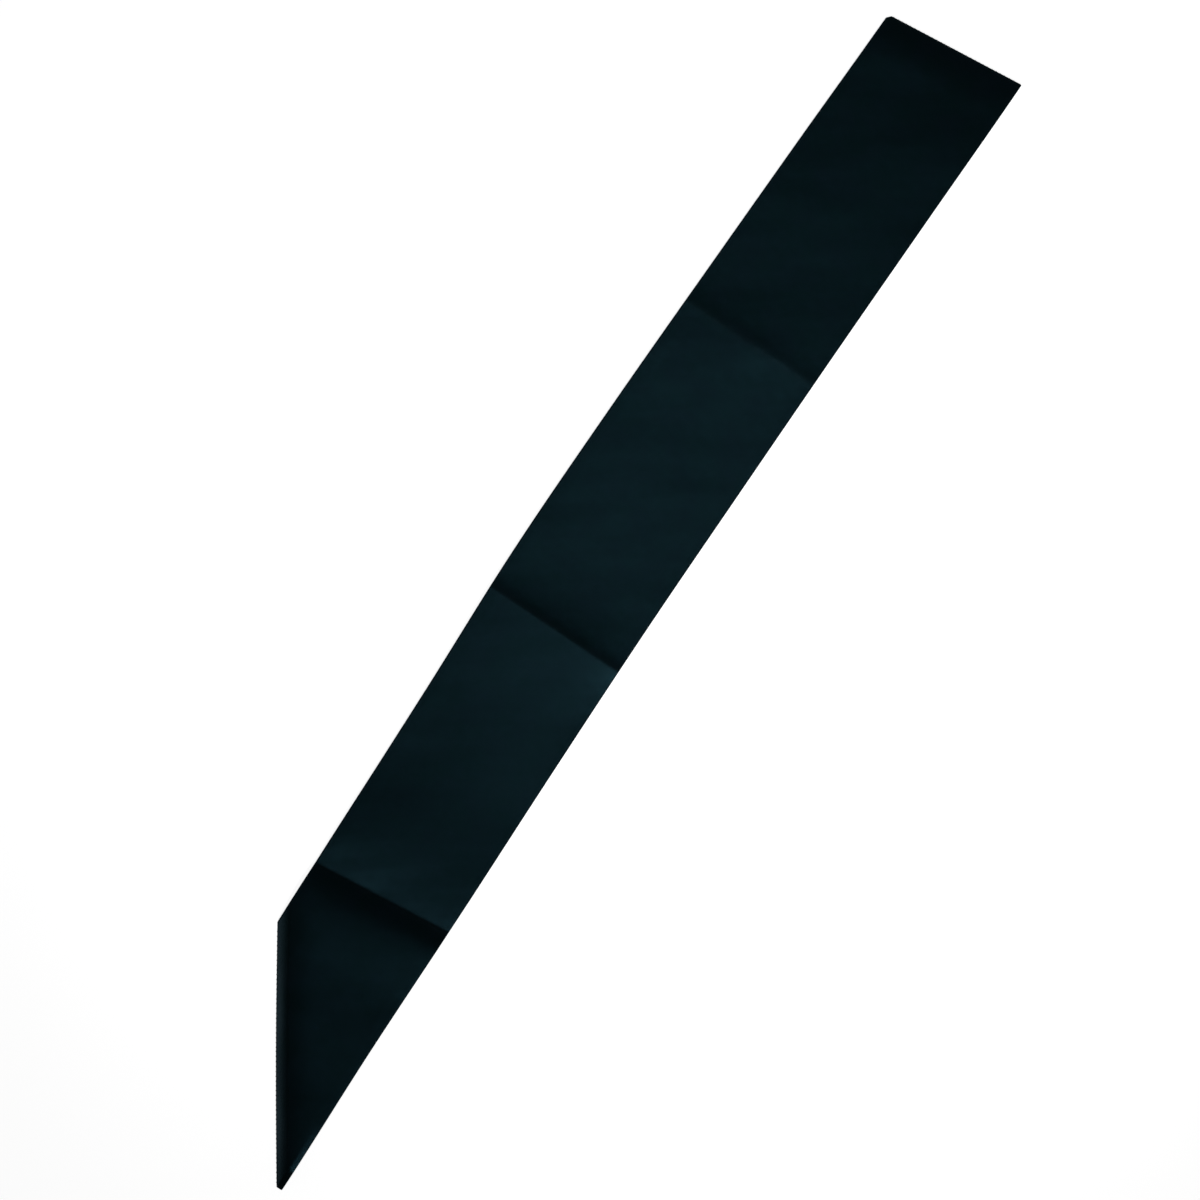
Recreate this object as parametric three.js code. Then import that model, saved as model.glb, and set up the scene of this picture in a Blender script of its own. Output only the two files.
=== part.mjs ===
// A satin sash for one shoulder, laid flat and doubled.
// It is a closed loop of two cloth panels, which meet at a short seam on the shoulder
// and along a slanting seam at the hip, where the sash ends in a point.
// Millimetres. X runs from the hip point to the shoulder, Y from the outer edge to the
// neck-side edge, Z up from the surface that the sash lies on.

import * as THREE from 'three';

// Driving sizes of the outline
const LENGTH = 883;          // hip point to shoulder, along the long outer edge
const BAND_WIDTH = 103;      // finished width of the band where it is widest
const BOW = 7.4;             // how far the middle of the band bows to the neck side
const HIP_RUN = 147;         // how far the hip seam runs along the band from edge to edge
const HIP_BOW = 0.9;         // how far the middle of the hip seam bows outwards
const SHOULDER_SLANT = 10.4; // how much shorter the shoulder seam leaves the neck-side edge
const POINT_WIDTH = 4.1;     // width of the blunt end of the hip point
const CORNER_CUT = 3;        // how much the neck-side shoulder corner is rounded off

// Driving sizes of the cloth
const WALL = 1.2;            // satin, stiffening and lining together
const EDGE_ROLL = 0.4;       // how far the turned edges round over
const SEAM_GAP = 0.3;        // between the two panels where the seams hold them together
const SHOULDER_ROLL = 60;    // how far in the front panel slopes down to the shoulder seam
const HIP_ROLL = 9;          // how far in it rolls down to the hip seam

// Driving sizes of the lie
const LAYER_GAP = 2.8;       // air between the panels where they lie flat
const EDGE_GAP = 2.3;        // air between them along the long edges there
const LIFT = 5;              // what the rises of both panels beside the storage folds are shares of
const SPRING = 9;            // what the further rises of the front panel are shares of
const FOLD_REACH = 130;      // what the reaches of those rises are shares of
const FOLD_RADIUS = 2.5;     // how sharp the storage folds are

// Driving sizes of the tail, between the hip seam and the first storage fold
const TAIL_SHELF = 1.6;      // how far the front panel stands off close to the hip seam
const TAIL_PUFF = 4.6;       // how much further it rises in the middle of the tail
const TAIL_ROLL = 30;        // how far in from the hip seam that takes
const TAIL_DIP = 62;         // how far before the first storage fold it begins to sink

// How closely the panels are divided
const ROWS_PER_STRETCH = 16;
const SPANS_ACROSS = 8;

// Band at even steps from hip to shoulder: width as a share of BAND_WIDTH, bow of BOW.
const SECTIONS = [
  { width: 0.968, bow: 0.00 },
  { width: 0.956, bow: 0.26 },
  { width: 0.970, bow: 0.46 },
  { width: 0.978, bow: 0.73 },
  { width: 1.000, bow: 1.00 },
  { width: 1.000, bow: 0.89 },
  { width: 0.988, bow: 0.65 },
  { width: 0.979, bow: 0.34 },
  { width: 0.968, bow: 0.00 },
];

// Storage folds. outer and inner: where the fold crosses the two long edges, as a share of
// each edge from the hip seam to the shoulder seam.
// hipLift and shoulderLift: rise of both panels on either side of the fold, share of LIFT.
// spring: further rise of the front panel, share of SPRING.
// Each reach is a share of FOLD_REACH, towards the hip and towards the shoulder.
// keen: how quickly the spring falls away towards the shoulder, as a power.
const FOLDS = [
  {
    shape: 'valley', outer: 0.2315, inner: 0.0648,
    hipLift: 0.20, shoulderLift: 0.32, hipReach: 0.46, shoulderReach: 0.74,
    spring: 0.00, hipSpring: 0.50, shoulderSpring: 0.50, keen: 2,
  },
  {
    shape: 'ridge', outer: 0.4646, inner: 0.3627,
    hipLift: 0.06, shoulderLift: 0.06, hipReach: 0.50, shoulderReach: 0.38,
    spring: 0.42, hipSpring: 1.08, shoulderSpring: 0.70, keen: 5,
  },
  {
    shape: 'ridge', outer: 0.7244, inner: 0.6789,
    hipLift: 0.04, shoulderLift: 0.04, hipReach: 0.50, shoulderReach: 0.50,
    spring: 0.15, hipSpring: 1.70, shoulderSpring: 0.50, keen: 5,
  },
];

const satin = () => new THREE.MeshStandardMaterial({ color: 0x0a1a1e, roughness: 0.45, metalness: 0 });

// Outline of the band: v is 0 on the outer edge and 1 on the neck-side edge
const sectionCurve = new THREE.SplineCurve(
  SECTIONS.map((row) => new THREE.Vector2(row.width * BAND_WIDTH, row.bow * BOW)),
);

function acrossAt(along, v) {
  const section = sectionCurve.getPoint(THREE.MathUtils.clamp(along / LENGTH, 0, 1));
  return section.y + (v - 0.5) * section.x;
}

function hipLine(v) {
  const share = Math.max(0, v * BAND_WIDTH - POINT_WIDTH) / (BAND_WIDTH - POINT_WIDTH);
  return HIP_RUN * share - HIP_BOW * 4 * share * (1 - share);
}

function shoulderLine(v) {
  const intoCorner = Math.max(0, v * BAND_WIDTH - (BAND_WIDTH - CORNER_CUT)) / CORNER_CUT;
  return LENGTH - SHOULDER_SLANT * v - CORNER_CUT * intoCorner;
}

function foldLine(fold) {
  const outer = LENGTH * fold.outer;
  const inner = THREE.MathUtils.lerp(HIP_RUN, LENGTH - SHOULDER_SLANT, fold.inner);
  return (v) => THREE.MathUtils.lerp(outer, inner, v);
}

// Heights: away is the distance from a fold, which its soft crease rounds near zero
const softened = (away) => Math.hypot(away, FOLD_RADIUS) - FOLD_RADIUS;
const fromFold = (away, reach) => Math.min(1, softened(away) / (reach * FOLD_REACH));

// A ridge falls away from its crest. A valley climbs out of its bottom to a low hump a third
// of the way out, and then dies out; its factor brings the hump's height to exactly 1.
const HUMP_FACTOR = 27 / 4;
const ridge = (t, keen = 2) => (1 - t) ** keen;
const valley = (t) => HUMP_FACTOR * t * (1 - t) ** 2;

function backLift(along, v) {
  let height = 0;
  for (const fold of FOLDS) {
    const away = along - foldLine(fold)(v);
    const reach = away < 0 ? fold.hipReach : fold.shoulderReach;
    const rise = away < 0 ? fold.hipLift : fold.shoulderLift;
    const form = fold.shape === 'ridge' ? ridge : valley;
    height += LIFT * rise * form(fromFold(away, reach));
  }
  return height;
}

// Goes from 0 at a seam or a fold to 1 at a depth inside it, steep at first and then level
const roll = (inside, depth, keen = 2) => 1 - (1 - THREE.MathUtils.clamp(inside / depth, 0, 1)) ** keen;

const HIP_SEAM_SLOPE = Math.atan2(BAND_WIDTH, HIP_RUN);
const fromHipSeam = (along, v) => (along - hipLine(v)) * Math.sin(HIP_SEAM_SLOPE);

// How far the panels have parted, from 0 at a seam to 1 where its roll ends
const parted = (along, v) => roll(fromHipSeam(along, v), HIP_ROLL)
  * roll(shoulderLine(v) - along, SHOULDER_ROLL);

// The front panel puffs up between the hip seam and the first fold, where it dips again
function tailPuff(along, v) {
  const inside = fromHipSeam(along, v);
  const puff = TAIL_SHELF * roll(inside, HIP_ROLL) + TAIL_PUFF * roll(inside, TAIL_ROLL);
  return puff * roll(foldLine(FOLDS[0])(v) - along, TAIL_DIP, 3);
}

// Air between the panels: crowned across the band, and widest where the front panel springs up
function airGap(along, v) {
  const crown = 1 - Math.abs(2 * v - 1) ** 3;
  let gap = THREE.MathUtils.lerp(EDGE_GAP, LAYER_GAP, crown);
  for (const fold of FOLDS) {
    const away = along - foldLine(fold)(v);
    const reach = away < 0 ? fold.hipSpring : fold.shoulderSpring;
    const keen = away < 0 ? 2 : fold.keen;
    gap += SPRING * fold.spring * ridge(fromFold(away, reach), keen);
  }
  return THREE.MathUtils.lerp(SEAM_GAP, gap, parted(along, v)) + tailPuff(along, v);
}

const backUnderside = backLift;
const frontUnderside = (along, v) => backLift(along, v) + WALL + airGap(along, v);

// Columns across a panel: a narrow rolled edge each side, and even spans between them
function columns() {
  const edge = POINT_WIDTH / BAND_WIDTH;
  const between = [];
  for (let i = 0; i <= SPANS_ACROSS; i += 1) {
    between.push(THREE.MathUtils.lerp(edge, 1 - edge, i / SPANS_ACROSS));
  }
  return [0, ...between, 1];
}

// Rows along a panel, from seam to seam, closer together beside the folds and seams
function rows() {
  const lines = [hipLine, ...FOLDS.map(foldLine), shoulderLine];
  const list = [hipLine];
  for (let stretch = 1; stretch < lines.length; stretch += 1) {
    const from = lines[stretch - 1];
    const to = lines[stretch];
    for (let i = 1; i <= ROWS_PER_STRETCH; i += 1) {
      const share = (1 - Math.cos(Math.PI * i / ROWS_PER_STRETCH)) / 2;
      list.push((v) => THREE.MathUtils.lerp(from(v), to(v), share));
    }
  }
  return list;
}

// One row is a ring round the wall: the underside from the outer to the inner edge, the
// middle of the inner roll, the top back to the outer edge, and the middle of the outer roll.
function ring(row, across, underside) {
  const points = [];
  const place = (v, up, inset) => {
    const along = row(v);
    const side = v < 0.5 ? inset : -inset;
    points.push(new THREE.Vector3(along, acrossAt(along, v) + side, underside(along, v) + up));
  };
  const insetAt = (v) => (v === 0 || v === 1 ? EDGE_ROLL : 0);
  across.forEach((v) => place(v, 0, insetAt(v)));
  place(1, WALL / 2, 0);
  [...across].reverse().forEach((v) => place(v, WALL, insetAt(v)));
  place(0, WALL / 2, 0);
  return points;
}

// The end face that closes a ring: a strip between underside and top, and the two rolled edges.
// first is the ring's first vertex, size its number of vertices, count its columns.
function endFaces(first, size, count, towardsHip) {
  const faces = [];
  const underside = (i) => first + i;
  const top = (i) => first + size - 2 - i;
  const add = (a, b, c) => faces.push(...(towardsHip ? [a, b, c] : [a, c, b]));
  for (let i = 0; i < count - 1; i += 1) {
    add(underside(i), top(i), top(i + 1));
    add(underside(i), top(i + 1), underside(i + 1));
  }
  const outerRoll = first + size - 1;
  const innerRoll = first + count;
  add(outerRoll, top(0), underside(0));
  add(underside(count - 1), top(count - 1), innerRoll);
  return faces;
}

function panel(name, underside) {
  const across = columns();
  const rings = rows().map((row) => ring(row, across, underside));
  const size = rings[0].length;
  const positions = rings.flat().flatMap((point) => [point.x, point.y, point.z]);
  const faces = [];
  for (let r = 0; r + 1 < rings.length; r += 1) {
    for (let i = 0; i < size; i += 1) {
      const a = r * size + i;
      const b = r * size + (i + 1) % size;
      const onTop = i > across.length;
      // Top and underside split their squares the same way, so the wall keeps its thickness
      if (onTop) faces.push(a, b, b + size, a, b + size, a + size);
      else faces.push(a, b, a + size, b, b + size, a + size);
    }
  }
  faces.push(...endFaces(0, size, across.length, true));
  faces.push(...endFaces((rings.length - 1) * size, size, across.length, false));
  const geometry = new THREE.BufferGeometry();
  geometry.setAttribute('position', new THREE.Float32BufferAttribute(positions, 3));
  geometry.setIndex(faces);
  geometry.computeVertexNormals();
  const mesh = new THREE.Mesh(geometry, satin());
  mesh.name = name;
  return mesh;
}

const sash = new THREE.Group();
sash.add(panel('back_panel', backUnderside));
sash.add(panel('front_panel', frontUnderside));

// The origin is under the middle of the sash, on the surface that it lies on
const middle = new THREE.Box3().setFromObject(sash).getCenter(new THREE.Vector3());
sash.position.set(-middle.x, -middle.y, 0);
sash.updateMatrixWorld(true);

export default sash;
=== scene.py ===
# %% [markdown]
# A black satin shoulder sash, laid flat.
# The real thing is a closed loop of two cloth panels. They are sewn together at a short seam
# on the shoulder and along a slanting seam at the hip, and the sash ends there in a point.
# This lesson dresses the fixed frame with two detailed cloth panels, their stitches and a
# satin finish. It starts by loading the frame, because every length below comes from it.

# %% Load the fixed frame
import math
import bpy
import numpy as np
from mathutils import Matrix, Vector


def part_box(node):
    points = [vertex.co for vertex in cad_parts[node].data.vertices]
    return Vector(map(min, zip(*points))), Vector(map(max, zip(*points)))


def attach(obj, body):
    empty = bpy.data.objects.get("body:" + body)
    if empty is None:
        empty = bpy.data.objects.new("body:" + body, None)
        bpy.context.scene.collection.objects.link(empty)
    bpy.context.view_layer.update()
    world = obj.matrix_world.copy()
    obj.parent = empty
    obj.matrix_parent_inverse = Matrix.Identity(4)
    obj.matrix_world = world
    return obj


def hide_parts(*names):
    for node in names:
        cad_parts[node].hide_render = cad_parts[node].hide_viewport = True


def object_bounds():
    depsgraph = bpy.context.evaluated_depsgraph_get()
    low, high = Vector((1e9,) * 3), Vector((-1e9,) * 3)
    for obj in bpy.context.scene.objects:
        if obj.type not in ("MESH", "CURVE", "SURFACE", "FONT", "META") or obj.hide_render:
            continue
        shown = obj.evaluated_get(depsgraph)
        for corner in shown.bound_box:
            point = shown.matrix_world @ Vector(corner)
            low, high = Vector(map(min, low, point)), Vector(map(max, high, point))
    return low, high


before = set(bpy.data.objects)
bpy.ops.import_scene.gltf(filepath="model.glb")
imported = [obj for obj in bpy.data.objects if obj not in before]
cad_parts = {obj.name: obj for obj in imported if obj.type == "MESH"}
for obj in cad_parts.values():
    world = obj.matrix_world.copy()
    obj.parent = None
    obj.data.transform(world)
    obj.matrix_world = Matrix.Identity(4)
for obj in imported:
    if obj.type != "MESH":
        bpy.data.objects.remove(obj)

cad_low, cad_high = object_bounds()
print("frame nodes:", sorted(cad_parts))
print("frame box in millimetres:", [round(1000 * side, 1) for side in cad_high - cad_low])

# %% [markdown]
# The camera looks straight down, as somebody does who has laid the sash on a table to show
# its whole length. The sash runs across the picture at a slant, so the camera is rolled until
# the long axis points up and to the right. A long lens from over two metres up keeps the
# edges of the band parallel. The hip point is the landmark: its place in the picture and the
# size of a pixel settle where the camera stands.

# %% Camera straight above the sash
PICTURE_SIDE = 1200
PIXEL = 0.664e-3                 # metres of sash that one pixel of the picture covers
HIP_POINT_PIXEL = (281.8, 1190.5)
LONG_AXIS_SLANT = math.radians(56.2)
LENS = 100                       # a long lens, in millimetres
SENSOR = 36
FARTHEST = 60                    # metres that the camera sees, for the side views' pale walls

hip_point = Vector((cad_low.x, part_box("front_panel")[0].y, 0))
picture_right = Vector((math.cos(LONG_AXIS_SLANT), -math.sin(LONG_AXIS_SLANT), 0))
picture_up = Vector((math.sin(LONG_AXIS_SLANT), math.cos(LONG_AXIS_SLANT), 0))
to_middle_right = (PICTURE_SIDE / 2 - HIP_POINT_PIXEL[0]) * PIXEL
to_middle_up = (HIP_POINT_PIXEL[1] - PICTURE_SIDE / 2) * PIXEL
aim = hip_point + to_middle_right * picture_right + to_middle_up * picture_up
height = PICTURE_SIDE * PIXEL * LENS / SENSOR

camera_data = bpy.data.cameras.new("camera")
camera_data.lens = LENS
camera_data.sensor_width = SENSOR
camera_data.clip_end = FARTHEST
camera = bpy.data.objects.new("camera", camera_data)
camera.location = aim + Vector((0, 0, height))
camera.rotation_euler = (0, 0, -LONG_AXIS_SLANT)
bpy.context.scene.collection.objects.link(camera)
bpy.context.scene.camera = camera
print("camera stands", round(height, 3), "m above", [round(v, 4) for v in aim])

# %% [markdown]
# The table is a light table: a plain white top that glows evenly. It drowns the shadow of the
# thin cloth, as in a catalogue picture, and leaves the outline crisp. A painted white board
# with stronger lamps would do as well, but those lamps would also wash out the black.

# %% White table
TABLE_SIDE = 24.0
TABLE_HEIGHT = -0.0004           # a hair below the cloth, so that the two never flicker
TABLE_WHITE = (0.90, 0.90, 0.90, 1)
TABLE_GLOW = 0.9


def principled(material):
    return material.node_tree.nodes["Principled BSDF"]


def table_top():
    half = TABLE_SIDE / 2
    corners = [(-half, -half, TABLE_HEIGHT), (half, -half, TABLE_HEIGHT),
               (half, half, TABLE_HEIGHT), (-half, half, TABLE_HEIGHT)]
    mesh = bpy.data.meshes.new("table")
    mesh.from_pydata(corners, [], [(0, 1, 2, 3)])
    white = bpy.data.materials.new("table_white")
    white.use_nodes = True
    shader = principled(white)
    shader.inputs["Base Color"].default_value = TABLE_WHITE
    shader.inputs["Roughness"].default_value = 0.9
    shader.inputs["Specular IOR Level"].default_value = 0.1
    shader.inputs["Emission Color"].default_value = (1, 1, 1, 1)
    shader.inputs["Emission Strength"].default_value = TABLE_GLOW
    mesh.materials.append(white)
    table = bpy.data.objects.new("table", mesh)
    bpy.context.scene.collection.objects.link(table)
    return table


table_top()
print("table", TABLE_SIDE, "m wide, glowing at", TABLE_GLOW)

# %% [markdown]
# Black satin hardly scatters light, so nearly all that shows on it is the gleam of the lamps.
# Two soft boxes shape it. The raking box stands low beyond the hip, beside the outer edge: its
# narrow beam lights the slopes that lean towards the hip and leaves the others dark, which
# makes the storage folds read. The overhead box gives the flat cloth its broad gleam and is
# kept off the tail. The studio itself is dark overhead and pale towards the horizon, like a
# room with light walls: the cloth stays black from above and still gleams when seen along its
# length. The plain view transform keeps the black as deep as it is, where a film-like one
# would lift it.

# %% Soft boxes and world


def soft_box(name, place, target, side, watts, spread):
    data = bpy.data.lights.new(name, "AREA")
    data.shape = "SQUARE"
    data.size = side
    data.energy = watts
    data.spread = math.radians(spread)
    box = bpy.data.objects.new(name, data)
    box.location = place
    box.rotation_euler = (Vector(target) - Vector(place)).to_track_quat("-Z", "Y").to_euler()
    box.visible_camera = False
    bpy.context.scene.collection.objects.link(box)
    return box


def studio_world(overhead, horizon, wall_top):
    """White light from all round, horizon strong at table height and overhead above wall_top."""
    world = bpy.data.worlds.new("studio")
    world.use_nodes = True
    tree = world.node_tree
    background = tree.nodes["Background"]
    background.inputs["Color"].default_value = (1, 1, 1, 1)
    direction = tree.nodes.new("ShaderNodeTexCoord").outputs["Generated"]
    split = tree.nodes.new("ShaderNodeSeparateXYZ")
    tree.links.new(direction, split.inputs[0])
    fade = tree.nodes.new("ShaderNodeMapRange")
    fade.interpolation_type = "SMOOTHERSTEP"
    fade.inputs["From Max"].default_value = wall_top
    fade.inputs["To Min"].default_value = horizon
    fade.inputs["To Max"].default_value = overhead
    tree.links.new(split.outputs["Z"], fade.inputs["Value"])
    tree.links.new(fade.outputs["Result"], background.inputs["Strength"])
    bpy.context.scene.world = world


soft_box("raking_box", (-1.25, -0.77, 2.36), (0.14, 0.0, 0.0), side=0.5, watts=0.56, spread=21)
soft_box("gleam_box", (0.11, -0.02, 2.4), (0.34, 0.0, 0.0), side=0.5, watts=0.082, spread=30)
studio_world(overhead=0.032, horizon=0.55, wall_top=0.42)
bpy.context.scene.view_settings.view_transform = "Standard"

# %% [markdown]
# The outline of the band. A sash maker cuts it almost straight, and in use it takes a gentle
# bow. It could be traced with a bezier curve, but a short table of widths and bows at even
# steps says the same and can be asked for the edge at any place. Two numbers name a place on
# the cloth: along, in metres from the hip point, and v, from 0 on the long outer edge to 1 on
# the neck-side edge. Slanting lines, such as the hip seam, are then functions of v.

# %% Outline of the band
LENGTH = cad_high.x - cad_low.x
BAND_WIDTH = 0.103
BOW = 0.0074
HIP_RUN = 0.147
HIP_BOW = 0.0009
SHOULDER_SLANT = 0.0104
POINT_WIDTH = 0.0041
CORNER_CUT = 0.003
WIDTH_SHARES = [0.968, 0.956, 0.970, 0.978, 1.000, 1.000, 0.988, 0.979, 0.968]
BOW_SHARES = [0.00, 0.26, 0.46, 0.73, 1.00, 0.89, 0.65, 0.34, 0.00]
HIP_SLOPE = math.atan2(BAND_WIDTH, HIP_RUN)
OUTER_EDGE_AT_HIP = cad_low.y


def smooth_table(shares, place):
    """A smooth curve through evenly spaced values, where place runs from 0 to 1."""
    knots = np.array([shares[0], *shares, shares[-1]])
    spot = np.clip(place, 0, 1) * (len(shares) - 1)
    step = np.minimum(spot.astype(int), len(shares) - 2)
    t = spot - step
    before, start, end, after = (knots[step + k] for k in range(4))
    rise = (end - before) / 2
    fall = (after - start) / 2
    return ((2 * start - 2 * end + rise + fall) * t**3
            + (3 * end - 3 * start - 2 * rise - fall) * t**2 + rise * t + start)


def width_at(along):
    return BAND_WIDTH * smooth_table(WIDTH_SHARES, along / LENGTH)


def middle_at(along):
    bow = BOW * smooth_table(BOW_SHARES, along / LENGTH)
    return OUTER_EDGE_AT_HIP + BAND_WIDTH * WIDTH_SHARES[0] / 2 + bow


def across_at(along, v):
    return middle_at(along) + (v - 0.5) * width_at(along)


def v_at(along, y):
    """The way back, from a place on the table to v."""
    return 0.5 + (y - middle_at(along)) / width_at(along)


def hip_line(v):
    share = np.maximum(0, v * BAND_WIDTH - POINT_WIDTH) / (BAND_WIDTH - POINT_WIDTH)
    return HIP_RUN * share - HIP_BOW * 4 * share * (1 - share)


def shoulder_line(v):
    into_corner = np.maximum(0, v * BAND_WIDTH - (BAND_WIDTH - CORNER_CUT)) / CORNER_CUT
    return LENGTH - SHOULDER_SLANT * v - CORNER_CUT * into_corner


print("band", round(1000 * LENGTH, 1), "mm long, hip seam at", round(math.degrees(HIP_SLOPE), 1),
      "degrees to the edges")

# %% [markdown]
# The storage folds. A sash is kept folded in four, so three folds cross it, 9 inches apart.
# Laid flat, two of them stand up as low ridges and the one nearest the hip sinks in as a
# valley. Each fold is a row of plain facts: where it crosses the two edges, and how high and
# how far the cloth rises on either side. On the shoulder side the front panel falls in steps
# named in falls: a share of the rise, the distance it takes and how sharply it starts. The
# short one makes the thin dark line of a pressed fold, the long ones its soft shade. A cloth
# simulation could find such a lie too, but it forgets pressed folds, and these were pressed
# in for months, so heights by formula keep them.

# %% Facts of the storage folds
WALL = 0.0012
LIFT = 0.005
FOLD_REACH = 0.130
HUMP_FACTOR = 27 / 4             # brings the hump beside a valley to exactly its rise

FOLDS = [
    dict(shape="valley", outer=0.2315, inner=0.0648, radius=0.0012,
         hip_lift=0.05, shoulder_lift=0.26, hip_reach=0.46, shoulder_reach=0.74,
         spring=0.00, hip_spring=0.50, falls=[]),
    dict(shape="ridge", outer=0.4646, inner=0.3627, radius=0.0012,
         hip_lift=0.06, shoulder_lift=0.06, hip_reach=0.50, shoulder_reach=0.38,
         spring=0.42, hip_spring=1.08,
         falls=[(0.14, 0.010, 3), (0.42, 0.075, 4), (0.44, 0.200, 2)]),
    dict(shape="ridge", outer=0.7244, inner=0.6789, radius=0.0040,
         hip_lift=0.04, shoulder_lift=0.04, hip_reach=0.50, shoulder_reach=0.50,
         spring=0.15, hip_spring=1.70,
         falls=[(0.20, 0.012, 3), (0.60, 0.045, 3), (0.20, 0.150, 2)]),
]


def fold_line(fold, v):
    inner = HIP_RUN + fold["inner"] * (LENGTH - SHOULDER_SLANT - HIP_RUN)
    return LENGTH * fold["outer"] * (1 - v) + inner * v


def from_fold(fold, away, reach):
    softened = np.hypot(away, fold["radius"]) - fold["radius"]
    return np.minimum(1, softened / reach)


def ridge(t, keen=2):
    return (1 - t)**keen


def valley(t):
    return HUMP_FACTOR * t * (1 - t)**2


def back_lift(along, v):
    """How far the back panel's underside rises off the table."""
    height = np.zeros_like(along)
    for fold in FOLDS:
        away = along - fold_line(fold, v)
        reach = np.where(away < 0, fold["hip_reach"], fold["shoulder_reach"])
        rise = np.where(away < 0, fold["hip_lift"], fold["shoulder_lift"])
        form = ridge if fold["shape"] == "ridge" else valley
        height += LIFT * rise * form(from_fold(fold, away, reach * FOLD_REACH))
    return height


for fold in FOLDS:
    edges = [round(1000 * float(fold_line(fold, v))) for v in (0, 1)]
    print(fold["shape"], "fold crosses the edges", edges, "mm from the hip point")

# %% [markdown]
# The air inside the loop. Only the seams hold the two panels together. In between, stiffened
# satin springs apart a little: the front panel stands up over the middle fold, and in the tail
# it rises steeply behind the hip seam and is nearly flat on top. That roll is why the hip edge
# shows a thin light line with a dark band beside it. Each part of the gap fades out at the
# seams, so that the panels meet there.

# %% Air between the panels
SEAM_GAP = 0.0003
LAYER_GAP = 0.0028
EDGE_GAP = 0.0023
SPRING = 0.009
HIP_ROLL = 0.009
HIP_KEEN = 1.35                  # 1 is a straight slope up from the hip seam
SHOULDER_ROLL = 0.028
TAIL_SHELF = 0.0004              # how far the front panel stands off close to the hip seam
TAIL_PUFF = 0.0054               # how much further it rises in the middle of the tail
TAIL_ROLL = 0.030                # how far in from the hip seam that takes
TAIL_DIP = (0.024, 0.044)        # how far before the first fold it sinks, outer and inner edge


def roll(inside, depth, keen=2):
    """Rises steeply from 0 at a seam and levels off at 1."""
    return 1 - (1 - np.clip(inside / depth, 0, 1))**keen


def from_hip_seam(along, v):
    return (along - hip_line(v)) * math.sin(HIP_SLOPE)


def tail_puff(along, v):
    """The front panel stands away from the back one between the hip seam and the first fold."""
    inside = from_hip_seam(along, v)
    shelf = TAIL_SHELF * roll(inside, HIP_ROLL, HIP_KEEN)
    dip = TAIL_DIP[0] + (TAIL_DIP[1] - TAIL_DIP[0]) * v
    sunk = roll(fold_line(FOLDS[0], v) - along, dip, 3)
    return (shelf + TAIL_PUFF * roll(inside, TAIL_ROLL)) * sunk


def spring_up(fold, along, v):
    """From 0 to 1, how far the front panel has sprung up beside a fold."""
    away = along - fold_line(fold, v)
    hip_side = ridge(from_fold(fold, away, fold["hip_spring"] * FOLD_REACH))
    shoulder_side = np.zeros_like(along)
    for share, reach, keen in fold["falls"]:
        shoulder_side += share * ridge(from_fold(fold, away, reach), keen)
    return np.where(away < 0, hip_side, shoulder_side)


def air_gap(along, v):
    parted = (roll(from_hip_seam(along, v), HIP_ROLL, HIP_KEEN)
              * roll(shoulder_line(v) - along, SHOULDER_ROLL))
    crown = 1 - np.abs(2 * v - 1)**3
    gap = EDGE_GAP + (LAYER_GAP - EDGE_GAP) * crown
    for fold in FOLDS:
        gap = gap + SPRING * fold["spring"] * spring_up(fold, along, v)
    return SEAM_GAP + (gap - SEAM_GAP) * parted + tail_puff(along, v)


sample = np.linspace(0.05, 0.85, 9)
print("air gap in tenths of a millimetre:", (1e4 * air_gap(sample, 0 * sample + 0.3)).round())

# %% [markdown]
# Small relief of the cloth. Seen close, satin is never smooth: the turned-in allowance shows
# as a faint step along each edge, the seam thread draws the edge into fine puckers, and
# folding leaves slack ripples. These forms are bigger than a thread, so they are heights of
# the mesh and not bump. The ripples are sums of a few waves with a fixed seed, which gives the
# same cloth each time.

# %% Ripples, puckers and turned-in edges
ALLOWANCE = 0.0095               # width of the cloth turned in along the edges
ALLOWANCE_STEP = 0.00007
PUCKER_PITCH = 0.0042
PUCKER_HEIGHT = 0.00004
PUCKER_DEPTH = 0.004             # how far in from the edge the puckers fade
STEP_WIDTH = 0.0012              # the faint step of the turned-in cloth is this soft
CALM_SEAM = 0.02                 # the ripples grow from nothing over this distance
BROAD_RIPPLE = 0.00022
DRAG_LINE = 0.00003
FINE_RIPPLE = 0.000015
SLACK_RISE = 0.00030             # keeps the ripples clear of the panel below


def waves(x, y, pitch, seed, count=10, stretch=1.0):
    """A smooth random field of about unit height. stretch lengthens its hills across the band."""
    rng = np.random.default_rng(seed)
    field = np.zeros_like(x)
    for _ in range(count):
        turn = rng.uniform(0, 2 * math.pi)
        beat = 2 * math.pi / (pitch * rng.uniform(0.7, 1.6))
        shift = rng.uniform(0, 2 * math.pi)
        field += np.sin(beat * (x * math.cos(turn) + y * math.sin(turn) / stretch) + shift)
    return field / math.sqrt(count / 2)


def inset(v):
    """Distance in from the nearer long edge."""
    return np.minimum(v, 1 - v) * BAND_WIDTH


def allowance_ridge(along, v):
    seams = np.minimum(inset(v), from_hip_seam(along, v))
    return ALLOWANCE_STEP * (0.5 - 0.5 * np.tanh((seams - ALLOWANCE) / STEP_WIDTH))


def puckers(along, v, seed):
    side = np.where(v < 0.5, 0.0, 1.0)
    wobble = waves(along, side, PUCKER_PITCH, seed, count=6)
    strength = 0.6 + 0.4 * np.sin(along * 41 + seed + 2 * side)
    fade = np.exp(-(inset(v) / PUCKER_DEPTH)**2)
    return PUCKER_HEIGHT * strength * (1 + wobble) / 2 * fade


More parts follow.
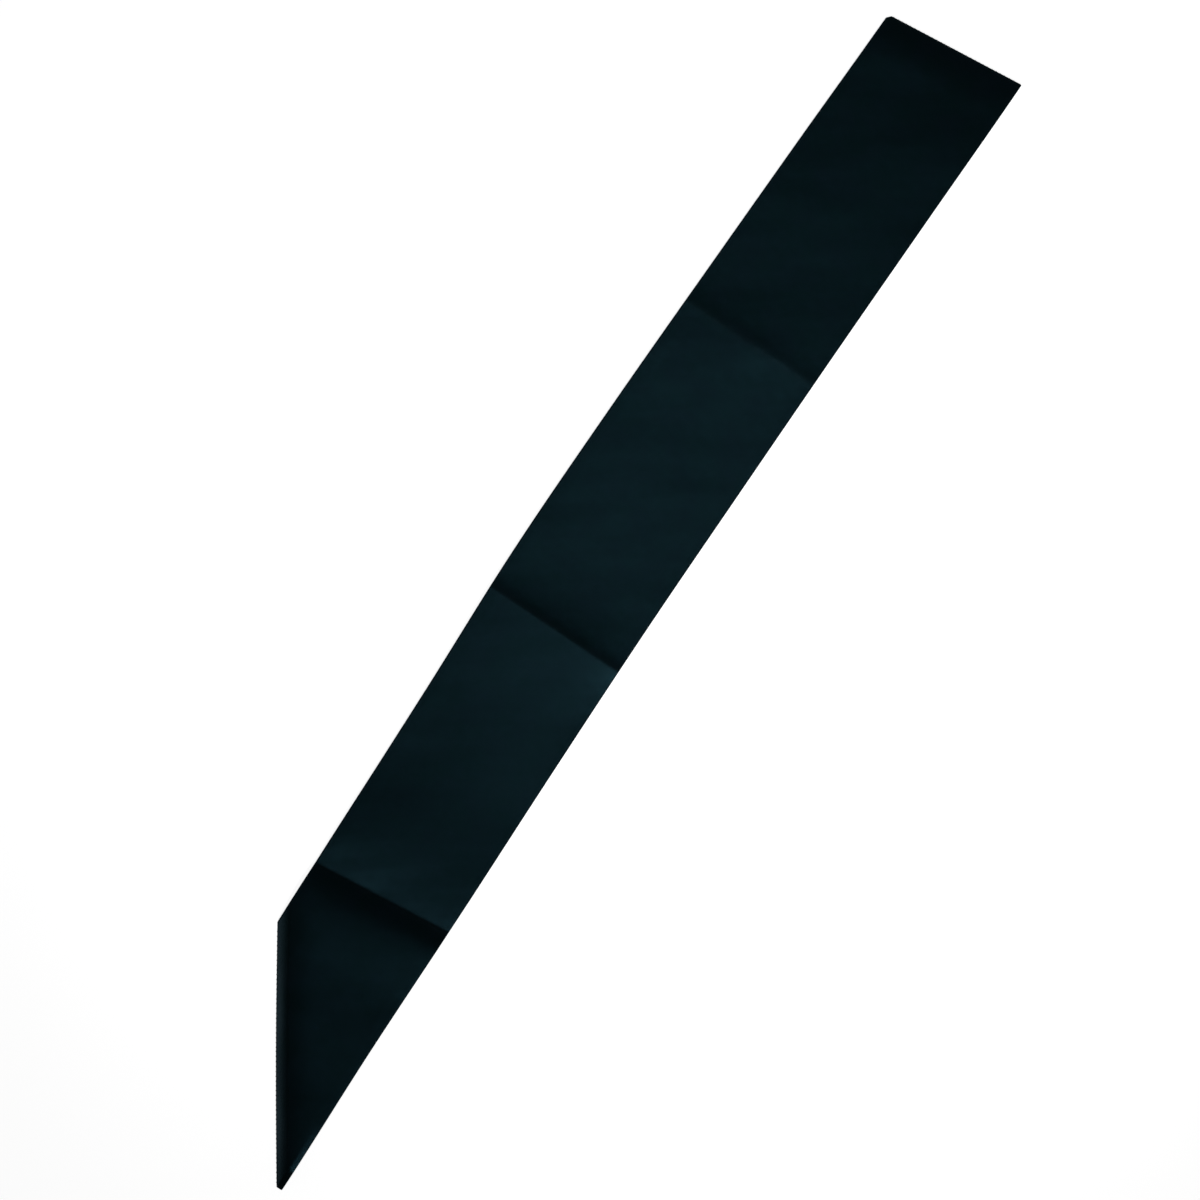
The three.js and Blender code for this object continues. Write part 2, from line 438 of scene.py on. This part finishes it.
def slack(along, v, seed):
    """Ripples and drag lines that are left after folding, none at the seams."""
    y = across_at(along, v)
    calm = roll(from_hip_seam(along, v), CALM_SEAM) * roll(shoulder_line(v) - along, CALM_SEAM)
    broad = BROAD_RIPPLE * waves(along, y, 0.085, seed)
    drag = DRAG_LINE * waves(along + 0.7 * y, y, 0.024, seed + 1, stretch=3.0)
    fine = FINE_RIPPLE * waves(along, y, 0.009, seed + 2)
    return calm * (broad + drag + fine + SLACK_RISE)


print("slack ripples in microns:", (1e6 * slack(sample, 0 * sample + 0.5, 3)).round())

# %% [markdown]
# Beads and a curl. A pressed fold keeps a narrow bead along its crest, where both layers were
# bent hard. Beside the middle fold the outer edge of the front panel has curled down a little:
# that stretch leans towards the raking light and shows as a brighter patch. Both are sums of
# bell curves, because they fade on all sides and leave no corner.

# %% Beads along the folds and the curled edge
BEADS = [(0.00000, 0.0030), (0.00005, 0.0030), (0.00003, 0.0036)]    # rise and half width
BEAD_WANDER = 0.0006             # how far a bead strays from its fold
CURL_PLACE = 0.385               # middle of the curled stretch, from the hip point
CURL_LENGTH = 0.040
CURL_DEPTH = 0.034               # how far in from the outer edge it starts
CURL_DROP = 0.0018


def pressed_beads(along, v):
    """The narrow bead along the crest of each fold that stands up."""
    y = across_at(along, v)
    height = np.zeros_like(along)
    for number, (fold, (rise, half_width)) in enumerate(zip(FOLDS, BEADS)):
        wander = BEAD_WANDER * waves(y, 0 * y, 0.05, 40 + number, count=4)
        away = along - fold_line(fold, v) - wander
        height += rise * np.exp(-(away / half_width)**2)
    return height


def edge_curl(along, v):
    inside = np.clip(1 - v * BAND_WIDTH / CURL_DEPTH, 0, 1)
    return CURL_DROP * inside**2 * np.exp(-((along - CURL_PLACE) / CURL_LENGTH)**2)


print("curl at the outer edge in microns:", (1e6 * edge_curl(sample, 0 * sample)).round())

# %% [markdown]
# Rows and columns. The cloth is a grid whose rows follow the hip seam, the three folds and the
# shoulder seam. They crowd together beside those lines, and the columns beside the long edges,
# so that the sharp forms get the points they need. An even grid fine enough for the folds
# would have three times as many points.

# %% Rows and columns of the cloth grid
EDGE_RADIUS = 0.0006
ROWS_PER_STRETCH = [120, 130, 130, 130]
SPANS_ACROSS = 62
CROWDING = 0.55                  # 0 spaces the rows evenly, 1 crowds them most at the folds
CROWDING_ACROSS = 0.6


def crowd(even, amount):
    crowded = (1 - np.cos(np.pi * even)) / 2
    return even + amount * (crowded - even)


def column_places():
    """Values of v across the band, one of them on the corner where the blunt hip point ends."""
    first = EDGE_RADIUS / BAND_WIDTH
    even = np.linspace(0, 1, SPANS_ACROSS + 1)
    places = first + (1 - 2 * first) * crowd(even, CROWDING_ACROSS)
    corner = POINT_WIDTH / BAND_WIDTH
    places[np.argmin(np.abs(places - corner))] = corner
    return places


def row_places(columns):
    """Distance along for each row, at each column."""
    lines = [hip_line(columns) + EDGE_RADIUS / math.sin(HIP_SLOPE)]
    lines += [fold_line(fold, columns) for fold in FOLDS]
    lines.append(shoulder_line(columns) - EDGE_RADIUS)
    rows = [lines[0][None]]
    for start, end, count in zip(lines, lines[1:], ROWS_PER_STRETCH):
        share = crowd(np.arange(1, count + 1) / count, CROWDING)[:, None]
        rows.append(start + (end - start) * share)
    return np.vstack(rows)


COLUMNS = column_places()
ALONG = row_places(COLUMNS)
V = np.tile(COLUMNS, (len(ALONG), 1))
print("grid of", *V.shape, "points on each side of a panel")

# %% [markdown]
# Heights. The back panel lies on the table and rises with the folds. The front one rides on
# it, a wall and an air gap higher, and takes the ripples, beads and curl too. Its upper side
# alone gets the edge relief, because the lower side can't be seen between the panels.

# %% Heights of the panels


def back_sheet(along, v):
    return back_lift(along, v)


def front_sheet(along, v):
    return (back_lift(along, v) + WALL + air_gap(along, v) - edge_curl(along, v)
            + slack(along, v, 11) + pressed_beads(along, v))


def front_relief(along, v):
    return allowance_ridge(along, v) + puckers(along, v, 5)


def no_relief(along, v):
    return 0 * along


room = front_sheet(ALONG, V) - back_sheet(ALONG, V) - WALL
print("air between the panels:", round(1000 * room.min(), 2), "to", round(1000 * room.max(), 2), "mm")

# %% [markdown]
# The rolled edge. Face and lining are sewn right sides together, turned and pressed, so the
# edge is a small half round with the seam as a fine groove in its middle. A bevel modifier
# would round it too, but it can't cut the groove, so the rim is made of loops of points that
# step round the edge.

# %% Border of the grid and loops round the edge
RIM_TURNS = [-60, -24, 0, 24, 60]       # degrees round the rolled edge, 0 is the edge seam
SEAM_GROOVE = 0.00016


def border_of(rows, columns):
    """Grid numbers of the border points, once round."""
    border = [(r, 0) for r in range(rows)]
    border += [(rows - 1, c) for c in range(1, columns)]
    border += [(r, columns - 1) for r in range(rows - 2, -1, -1)]
    border += [(0, c) for c in range(columns - 2, 0, -1)]
    return np.array([r * columns + c for r, c in border])


def outward(points):
    """Unit vectors in the plane that point out of a closed outline."""
    tangent = np.roll(points, -1, axis=0) - np.roll(points, 1, axis=0)
    normal = np.column_stack([-tangent[:, 1], tangent[:, 0]])
    normal /= np.linalg.norm(normal, axis=1)[:, None]
    inwards = np.sum(normal * (points - points.mean(axis=0))) < 0
    return -normal if inwards else normal


def rim_loops(low, high):
    """The loops of points, from the lower side to the upper one, and how far round each is."""
    out = outward(low[:, :2])
    loops, arcs = [], []
    for turn in RIM_TURNS:
        angle = math.radians(turn)
        reach = EDGE_RADIUS * math.cos(angle) - (SEAM_GROOVE if turn == 0 else 0)
        loop = low + (high - low) * (1 + math.sin(angle)) / 2
        loop[:, :2] += out * reach
        loops.append(loop)
        arcs.append(EDGE_RADIUS * (math.pi / 2 - abs(angle)))
    return loops, arcs, out


border = border_of(*V.shape)
print(len(border), "points once round the panel")

# %% [markdown]
# Marks on the cloth. Finishes need to know where they are: the weave needs a flat pattern that
# bends with the band, wear needs the turned edges and the pressed folds, and the hip seam was
# ironed flat, which leaves a strip of smoother, glossier satin beside it. The pattern is a UV
# map in metres, across and along, which runs on round the rolled edge. The others are plain
# numbers from 0 to 1 kept on each point. Texture coordinates of the object would do for a
# straight band, but the weave would then slide across the bow.

# %% Marks that the finishes read
FOLD_MARK = 0.0028
EDGE_MARK = 0.0016
IRONED_WIDTH = 0.0085
IRONED_FADE = 0.0025


def edge_mark(along, v):
    seams = np.minimum(inset(v), from_hip_seam(along, v))
    seams = np.minimum(seams, shoulder_line(v) - along)
    return np.exp(-(seams / EDGE_MARK)**2)


def fold_mark(along, v):
    marks = [np.exp(-((along - fold_line(fold, v)) / FOLD_MARK)**2) for fold in FOLDS]
    return np.max(marks, axis=0)


def ironed_mark(along, v):
    return 0.5 - 0.5 * np.tanh((from_hip_seam(along, v) - IRONED_WIDTH) / IRONED_FADE)


def cloth_places(arcs, out):
    """Across and along in metres for each point of a panel."""
    flat = np.column_stack([((V - 0.5) * width_at(ALONG)).ravel(), ALONG.ravel()])
    turned = [flat[border] + arc * out[:, ::-1] for arc in arcs]
    return np.vstack([flat, flat, *turned])


def put_mark(mesh, name, marks, loops):
    """Keeps a mark on the points of both sides and of the loops round the edge."""
    flat = marks.ravel()
    values = np.concatenate([flat, flat, np.tile(flat[border], loops)])
    mark = mesh.attributes.new(name, "FLOAT", "POINT")
    mark.data.foreach_set("value", values.astype(np.float32))


print("share of the cloth near a fold:", round(float((fold_mark(ALONG, V) > 0.3).mean()), 3))

# %% [markdown]
# A panel is one closed wall: a grid for the underside, a grid for the upper side and the rim
# loops between them. It is written out point by point, because the two sides aren't parallel
# copies of each other: the upper one has the relief. A solidify modifier would make them so.

# %% Build a panel as one closed wall


def panel_faces(loops):
    rows, columns = V.shape
    size = rows * columns
    r, c = np.meshgrid(np.arange(rows - 1), np.arange(columns - 1), indexing="ij")
    a = (r * columns + c).ravel()
    square = np.column_stack([a, a + columns, a + columns + 1, a + 1])
    faces = [square, size + square[:, ::-1]]
    count = len(border)
    rings = [border]
    rings += [2 * size + k * count + np.arange(count) for k in range(loops)]
    rings.append(size + border)
    for low, high in zip(rings, rings[1:]):
        around = np.column_stack([low, np.roll(low, -1), np.roll(high, -1), high])
        faces.append(around[:, ::-1])
    return np.vstack(faces)


def panel(name, sheet, relief):
    x = cad_low.x + ALONG
    y = across_at(ALONG, V)
    under = sheet(ALONG, V)
    top = under + WALL + relief(ALONG, V)
    low = np.dstack([x, y, under]).reshape(-1, 3)
    high = np.dstack([x, y, top]).reshape(-1, 3)
    loops, arcs, out = rim_loops(low[border], high[border])
    faces = panel_faces(len(loops))
    mesh = bpy.data.meshes.new(name)
    mesh.from_pydata(np.vstack([low, high, *loops]).tolist(), [], faces.tolist())
    places = cloth_places(arcs, out)
    mesh.uv_layers.new(name="cloth").data.foreach_set("uv", places[faces].ravel())
    put_mark(mesh, "turned_edge", edge_mark(ALONG, V), len(loops))
    put_mark(mesh, "pressed_fold", fold_mark(ALONG, V), len(loops))
    put_mark(mesh, "ironed_hip", ironed_mark(ALONG, V), len(loops))
    mesh.shade_smooth()
    piece = bpy.data.objects.new(name, mesh)
    bpy.context.scene.collection.objects.link(piece)
    print(name, "has", 2 * len(faces), "triangles")
    return piece


front = panel("front_cloth", front_sheet, front_relief)
back = panel("back_cloth", back_sheet, no_relief)

# %% [markdown]
# The closing stitches. The loop is closed by hand at the two ends: small whip stitches go over
# the rims of both panels, from the top of the front one to the side of the back one. They
# could be a bump on the edge, but thread stands proud and catches light from every side, so
# each stitch is a thin tube on its own bent path. The thread is about a third of a millimetre
# thick, and a stitch is set every 3 mm with a slight slant, as a right-handed sewer leaves it.

# %% Path of one whip stitch
THREAD = 0.00035
STITCH_PITCH = 0.0032
STITCH_SLANT = 0.0010
STITCH_UNEVEN = 0.00018          # how far a stitch strays along the seam
STITCH_PATH = [                  # metres out from the cloth's grid and what the height is from
    (-0.00130, "top", -0.00020),
    (-0.00090, "top", 0.00010),
    (-0.00020, "top", 0.00014),
    (0.00038, "top", -0.00008),
    (0.00070, "top", -0.00060),
    (0.00066, "top", -0.00135),
    (0.00070, "table", 0.00062),
    (0.00030, "table", 0.00034),
]


def top_of_front(along, v):
    return front_sheet(along, v) + WALL + front_relief(along, v)


def stitch_path(spot, out, tangent, lean):
    """Points of a stitch over the seam at spot, a place in the plane."""
    path = []
    for step, (reach, base, rise) in enumerate(STITCH_PATH):
        slide = STITCH_SLANT * lean * (step / (len(STITCH_PATH) - 1) - 0.5)
        x, y = spot + out * reach + tangent * slide
        inner = spot + out * min(reach, 0) + tangent * slide
        along = np.array([inner[0] - cad_low.x])
        height = top_of_front(along, v_at(along, inner[1]))[0] if base == "top" else 0
        path.append((x, y, height + rise))
    return np.array(path)


print("a stitch has", len(STITCH_PATH), "bends and is set every", 1000 * STITCH_PITCH, "mm")

# %% [markdown]
# The tube round a path. Each ring of points is set square to the thread, with the seam's own
# direction to keep the rings from twisting. A curve object with a bevel would give the same
# tube, but as a mesh it can carry a UV map that runs along the thread, which its twist needs.

# %% Tubes of thread along a seam
SIDES = 7
SEAM_ENDS = (0.045, 0.975)       # values of v where the first and the last stitch may be


def ring_frames(path, tangent):
    heading = np.gradient(path, axis=0)
    heading /= np.linalg.norm(heading, axis=1)[:, None]
    side = np.array([*tangent, 0.0]) - heading * (heading[:, :2] @ tangent)[:, None]
    side /= np.linalg.norm(side, axis=1)[:, None]
    return side, np.cross(heading, side)


def tube(path, tangent):
    side, up = ring_frames(path, tangent)
    angles = 2 * math.pi * np.arange(SIDES) / SIDES
    ring = np.cos(angles)[None, :, None] * side[:, None] + np.sin(angles)[None, :, None] * up[:, None]
    return (path[:, None] + THREAD / 2 * ring).reshape(-1, 3)


def tube_faces(path):
    lengths = np.concatenate([[0], np.cumsum(np.linalg.norm(np.diff(path, axis=0), axis=1))])
    faces, places = [], []
    for k in range(len(path) - 1):
        for i in range(SIDES):
            j = (i + 1) % SIDES
            faces.append([k * SIDES + i, k * SIDES + j, (k + 1) * SIDES + j, (k + 1) * SIDES + i])
            for turn, reach in ((i, k), (i + 1, k), (i + 1, k + 1), (i, k + 1)):
                places.append((turn / SIDES, lengths[reach]))
    return np.array(faces), np.array(places)


def seam_stitches(name, seam, towards, seed):
    rng = np.random.default_rng(seed)
    v = np.linspace(*SEAM_ENDS, 600)
    along = seam(v)
    line = np.column_stack([cad_low.x + along, across_at(along, v)])
    lengths = np.concatenate([[0], np.cumsum(np.linalg.norm(np.diff(line, axis=0), axis=1))])
    points, faces, places = [], [], []
    made = 0
    for spot in np.arange(0.5 * STITCH_PITCH, lengths[-1], STITCH_PITCH):
        k = int(np.searchsorted(lengths, spot + rng.normal(0, STITCH_UNEVEN)))
        tangent = line[k + 1] - line[k - 1]
        tangent /= np.linalg.norm(tangent)
        out = np.array([-tangent[1], tangent[0]]) * towards
        path = stitch_path(line[k], out, tangent, rng.uniform(0.7, 1.3))
        ring_faces, ring_places = tube_faces(path)
        points.append(tube(path, tangent))
        faces.append(ring_faces + made)
        places.append(ring_places)
        made += len(points[-1])
    mesh = bpy.data.meshes.new(name)
    mesh.from_pydata(np.vstack(points).tolist(), [], np.vstack(faces).tolist())
    mesh.uv_layers.new(name="thread").data.foreach_set("uv", np.vstack(places).ravel())
    mesh.shade_smooth()
    piece = bpy.data.objects.new(name, mesh)
    bpy.context.scene.collection.objects.link(piece)
    print(name, "has", len(points), "stitches and", 2 * sum(len(f) for f in faces), "triangles")
    return piece


def hip_seam(v):
    return hip_line(v) + EDGE_RADIUS / math.sin(HIP_SLOPE)


def shoulder_seam(v):
    return shoulder_line(v) - EDGE_RADIUS


hip_stitches = seam_stitches("hip_stitches", hip_seam, 1, 21)
shoulder_stitches = seam_stitches("shoulder_stitches", shoulder_seam, -1, 22)

# %% [markdown]
# A few short helpers keep the node work readable: one adds a node, one feeds a socket from a
# number or another node, one does arithmetic, and one opens a node group with its sockets.

# %% Node helpers


def node(tree, kind, **settings):
    made = tree.nodes.new(kind)
    for name, value in settings.items():
        setattr(made, name, value)
    return made


def feed(tree, socket, value):
    if isinstance(value, bpy.types.NodeSocket):
        tree.links.new(value, socket)
    else:
        socket.default_value = value


def calc(tree, operation, *values):
    made = node(tree, "ShaderNodeMath", operation=operation)
    for socket, value in zip(made.inputs, values):
        feed(tree, socket, value)
    return made.outputs[0]


def smooth_step(tree, value, low, high, to_low=0.0, to_high=1.0):
    made = node(tree, "ShaderNodeMapRange", interpolation_type="SMOOTHSTEP")
    for name, entry in (("Value", value), ("From Min", low), ("From Max", high),
                        ("To Min", to_low), ("To Max", to_high)):
        feed(tree, made.inputs[name], entry)
    return made.outputs["Result"]


def blend_colours(tree, share, first, second):
    made = node(tree, "ShaderNodeMix", data_type="RGBA")
    feed(tree, made.inputs["Factor"], share)
    feed(tree, made.inputs[6], first)
    feed(tree, made.inputs[7], second)
    return made.outputs[2]


def open_group(name, takes, gives):
    group = bpy.data.node_groups.new(name, "ShaderNodeTree")
    for label, kind in takes:
        group.interface.new_socket(name=label, in_out="INPUT", socket_type=kind)
    for label in gives:
        group.interface.new_socket(name=label, in_out="OUTPUT", socket_type="NodeSocketFloat")
    start = node(group, "NodeGroupInput")
    end = node(group, "NodeGroupOutput")
    return group, start, end


def use_group(tree, group, **takes):
    made = node(tree, "ShaderNodeGroup", node_tree=group)
    for label, value in takes.items():
        feed(tree, made.inputs[label], value)
    return made


print("node helpers ready")

# %% [markdown]
# The satin weave. In an eight-shaft satin each lengthwise thread floats over seven crossing
# threads and dips under the eighth, and the dips are spread so that no two are neighbours.
# These long floats are what makes satin shine. The group works it out from the cloth's own
# places: the thread's number says where along it the dips fall, a sine rounds the thread, and
# a noise that runs far along each thread gives the faint streaks of uneven yarn. An image of
# the weave would be quicker to make, but it would blur close up.

# %% Satin weave as a node group
THREAD_PITCH = 0.00018           # from one lengthwise thread to the next, 140 to the inch
SHAFTS = 8
DIP_STEP = 3                     # crossing threads between the dips of neighbouring threads


def satin_weave():
    group, start, end = open_group("satin_weave", [("Place", "NodeSocketVector")],
                                   ["Height", "Dip", "Streak"])
    split = node(group, "ShaderNodeSeparateXYZ")
    feed(group, split.inputs[0], start.outputs["Place"])
    column = calc(group, "DIVIDE", split.outputs["X"], THREAD_PITCH)
    number = calc(group, "FLOOR", column)
    rounded = calc(group, "SINE", calc(group, "MULTIPLY", calc(group, "FRACT", column), math.pi))
    repeats = calc(group, "DIVIDE", split.outputs["Y"], SHAFTS * THREAD_PITCH)
    shifted = calc(group, "MULTIPLY_ADD", number, DIP_STEP / SHAFTS, repeats)
    place = calc(group, "FRACT", shifted)
    to_dip = calc(group, "MINIMUM", place, calc(group, "SUBTRACT", 1.0, place))
    floating = smooth_step(group, to_dip, 0.02, 0.16)
    lift = calc(group, "MULTIPLY_ADD", floating, 0.6, 0.4)
    yarn = node(group, "ShaderNodeCombineXYZ")
    feed(group, yarn.inputs["X"], number)
    feed(group, yarn.inputs["Y"], calc(group, "MULTIPLY", split.outputs["Y"], 22.0))
    noise = node(group, "ShaderNodeTexNoise", noise_dimensions="2D")
    feed(group, noise.inputs["Vector"], yarn.outputs[0])
    feed(group, noise.inputs["Scale"], 0.43)
    feed(group, end.inputs["Height"], calc(group, "MULTIPLY", rounded, lift))
    feed(group, end.inputs["Dip"], calc(group, "SUBTRACT", 1.0, floating))
    feed(group, end.inputs["Streak"], noise.outputs[0])
    return group


weave = satin_weave()
print("satin weave:", round(0.0254 / THREAD_PITCH), "threads to the inch on", SHAFTS, "shafts")

# %% [markdown]
# Handling. Cloth that has been worn and folded is nowhere quite even: its dye and its shine
# drift over a few centimetres, and fine wrinkles too small for the mesh break up the gleam. A
# second group gives both as masks from 0 to 1: broad clouds and a fine grain. The thread uses
# it too, so that stitches don't all look alike.

# %% Handling marks as a node group


def handling():
    group, start, end = open_group("handling", [("Place", "NodeSocketVector")],
                                   ["Clouds", "Grain"])
    clouds = node(group, "ShaderNodeTexNoise", noise_dimensions="2D")
    feed(group, clouds.inputs["Vector"], start.outputs["Place"])
    feed(group, clouds.inputs["Scale"], 44.0)
    feed(group, clouds.inputs["Detail"], 4.0)
    feed(group, clouds.inputs["Roughness"], 0.62)
    grain = node(group, "ShaderNodeTexNoise", noise_dimensions="2D")
    feed(group, grain.inputs["Vector"], start.outputs["Place"])
    feed(group, grain.inputs["Scale"], 420.0)
    feed(group, grain.inputs["Detail"], 3.0)
    feed(group, end.inputs["Clouds"], smooth_step(group, clouds.outputs[0], 0.30, 0.70))
    feed(group, end.inputs["Grain"], smooth_step(group, grain.outputs[0], 0.25, 0.75))
    return group


marks = handling()
print("handling group gives", [s.name for s in marks.interface.items_tree if s.in_out == "OUTPUT"])

# %% [markdown]
# Black satin. The dye is a blue-green black, which drifts between greener and bluer with the
# clouds. The gleam comes from one coat of shine, coloured by the dye as on polyester satin. It
# is stretched across the threads, because a satin float is smooth along and round across. The
# thread tops are smoother than the hollows between them. The turned edges and the pressed
# folds have rubbed a little: paler, broken by the grain. A mirror-like coat would look like
# plastic, and velvet-like fuzz isn't what a satin has, so only a trace of fuzz is added for
# the view along the cloth.

# %% Satin finish
GREENER_BLACK = (0.0013, 0.0058, 0.0062, 1)
BLUER_BLACK = (0.0020, 0.0052, 0.0076, 1)
RUBBED_BLACK = (0.0058, 0.0100, 0.0122, 1)
SHINE_COLOUR = (0.245, 0.745, 1.0, 1)
FUZZ_COLOUR = (0.5, 0.85, 1.0, 1)
SATIN_ROUGHNESS = 0.38
CLOUD_DRIFT = 0.050              # roughness that the clouds add from one end to the other
HOLLOW_ROUGHER = 0.10            # between the threads, against their tops
STREAK_SMOOTHER = 0.03
DIP_ROUGHER = 0.05
WORN_ROUGHER = 0.012
IRONED_SMOOTHER = 0.45
THREAD_RELIEF = 4.5e-6


def rubbed(tree, grain):
    """Mask of the turned edges and pressed folds, broken by the grain."""
    edge = node(tree, "ShaderNodeAttribute", attribute_name="turned_edge")
    fold = node(tree, "ShaderNodeAttribute", attribute_name="pressed_fold")
    worn = calc(tree, "MAXIMUM", edge.outputs["Fac"],
                calc(tree, "MULTIPLY", fold.outputs["Fac"], 0.6))
    return calc(tree, "MULTIPLY", worn, grain)


def satin_finish():
    material = bpy.data.materials.new("black_satin")
    material.use_nodes = True
    tree = material.node_tree
    shader = principled(material)
    cloth = node(tree, "ShaderNodeUVMap", uv_map="cloth").outputs[0]
    threads = use_group(tree, weave, Place=cloth)
    clouds = use_group(tree, marks, Place=cloth)
    wear = rubbed(tree, clouds.outputs["Grain"])
    dye = blend_colours(tree, clouds.outputs["Clouds"], GREENER_BLACK, BLUER_BLACK)
    feed(tree, shader.inputs["Base Color"], blend_colours(tree, wear, dye, RUBBED_BLACK))
    drift = calc(tree, "MULTIPLY_ADD", clouds.outputs["Clouds"], CLOUD_DRIFT,
                 SATIN_ROUGHNESS - CLOUD_DRIFT / 2)
    between = calc(tree, "MULTIPLY_ADD", threads.outputs["Height"], -HOLLOW_ROUGHER,
                   HOLLOW_ROUGHER / 2)
    ground = calc(tree, "ADD", drift, between)
    streaked = calc(tree, "MULTIPLY_ADD", threads.outputs["Streak"], -STREAK_SMOOTHER, ground)
    dipped = calc(tree, "MULTIPLY_ADD", threads.outputs["Dip"], DIP_ROUGHER, streaked)
    worn = calc(tree, "MULTIPLY_ADD", wear, WORN_ROUGHER, dipped)
    ironed = node(tree, "ShaderNodeAttribute", attribute_name="ironed_hip").outputs["Fac"]
    smoother = calc(tree, "MULTIPLY_ADD", ironed, -IRONED_SMOOTHER, 1.0)
    feed(tree, shader.inputs["Roughness"], calc(tree, "MULTIPLY", worn, smoother))
    bump = node(tree, "ShaderNodeBump")
    feed(tree, bump.inputs["Height"], threads.outputs["Height"])
    feed(tree, bump.inputs["Distance"], THREAD_RELIEF)
    feed(tree, shader.inputs["Normal"], bump.outputs[0])
    tangent = node(tree, "ShaderNodeTangent", direction_type="UV_MAP", uv_map="cloth")
    feed(tree, shader.inputs["Tangent"], tangent.outputs[0])
    shader.inputs["Anisotropic"].default_value = 0.3
    shader.inputs["Specular IOR Level"].default_value = 0.319
    shader.inputs["Specular Tint"].default_value = SHINE_COLOUR
    shader.inputs["Sheen Weight"].default_value = 0.02
    shader.inputs["Sheen Roughness"].default_value = 0.4
    shader.inputs["Sheen Tint"].default_value = FUZZ_COLOUR
    return material


satin = satin_finish()
for piece in (front, back):
    piece.data.materials.append(satin)
print(satin.name, "has", len(satin.node_tree.nodes), "nodes")

# %% [markdown]
# Sewing thread. Two plies are twisted together, so fine slanting grooves run round it. The UV
# map of the stitches counts turns one way and metres the other, and adding the two gives a
# groove that winds along. The thread is duller than the satin and a shade paler.

# %% Thread finish
TWIST_LENGTH = 0.0008
TWIST_RELIEF = 0.00004
THREAD_BLACK = (0.0026, 0.0056, 0.0066, 1)
THREAD_PALER = (0.0048, 0.0090, 0.0105, 1)


def thread_finish():
    material = bpy.data.materials.new("black_thread")
    material.use_nodes = True
    tree = material.node_tree
    shader = principled(material)
    place = node(tree, "ShaderNodeUVMap", uv_map="thread").outputs[0]
    split = node(tree, "ShaderNodeSeparateXYZ")
    feed(tree, split.inputs[0], place)
    winding = calc(tree, "DIVIDE", split.outputs["Y"], TWIST_LENGTH)
    turns = calc(tree, "FRACT", calc(tree, "MULTIPLY_ADD", split.outputs["X"], 2.0, winding))
    ply = calc(tree, "SINE", calc(tree, "MULTIPLY", turns, math.pi))
    spots = node(tree, "ShaderNodeTexCoord").outputs["Object"]
    fuzz = use_group(tree, marks, Place=spots).outputs["Grain"]
    share = calc(tree, "MULTIPLY", ply, fuzz)
    feed(tree, shader.inputs["Base Color"], blend_colours(tree, share, THREAD_BLACK, THREAD_PALER))
    feed(tree, shader.inputs["Roughness"], calc(tree, "MULTIPLY_ADD", ply, -0.12, 0.62))
    bump = node(tree, "ShaderNodeBump")
    feed(tree, bump.inputs["Height"], ply)
    feed(tree, bump.inputs["Distance"], TWIST_RELIEF)
    feed(tree, shader.inputs["Normal"], bump.outputs[0])
    shader.inputs["Specular IOR Level"].default_value = 0.3
    shader.inputs["Specular Tint"].default_value = SHINE_COLOUR
    shader.inputs["Sheen Weight"].default_value = 0.05
    return material


thread = thread_finish()
for piece in (hip_stitches, shoulder_stitches):
    piece.data.materials.append(thread)
print(thread.name, "has", len(thread.node_tree.nodes), "nodes")

# %% [markdown]
# On the frame. Each cloth panel stands for one body of the frame and rides on it. Each was cut to the
# width of the band and its length, less the triangle that the slanting hip takes off. The stitches go
# with the front panel.

for piece, node_name in ((front, "front_panel"), (back, "back_panel")):
    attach(piece, "root")
    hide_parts(node_name)
for piece in (hip_stitches, shoulder_stitches):
    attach(piece, "root")
print("sheets are cut from", round(1000 * BAND_WIDTH), "by", round(1000 * LENGTH), "mm")
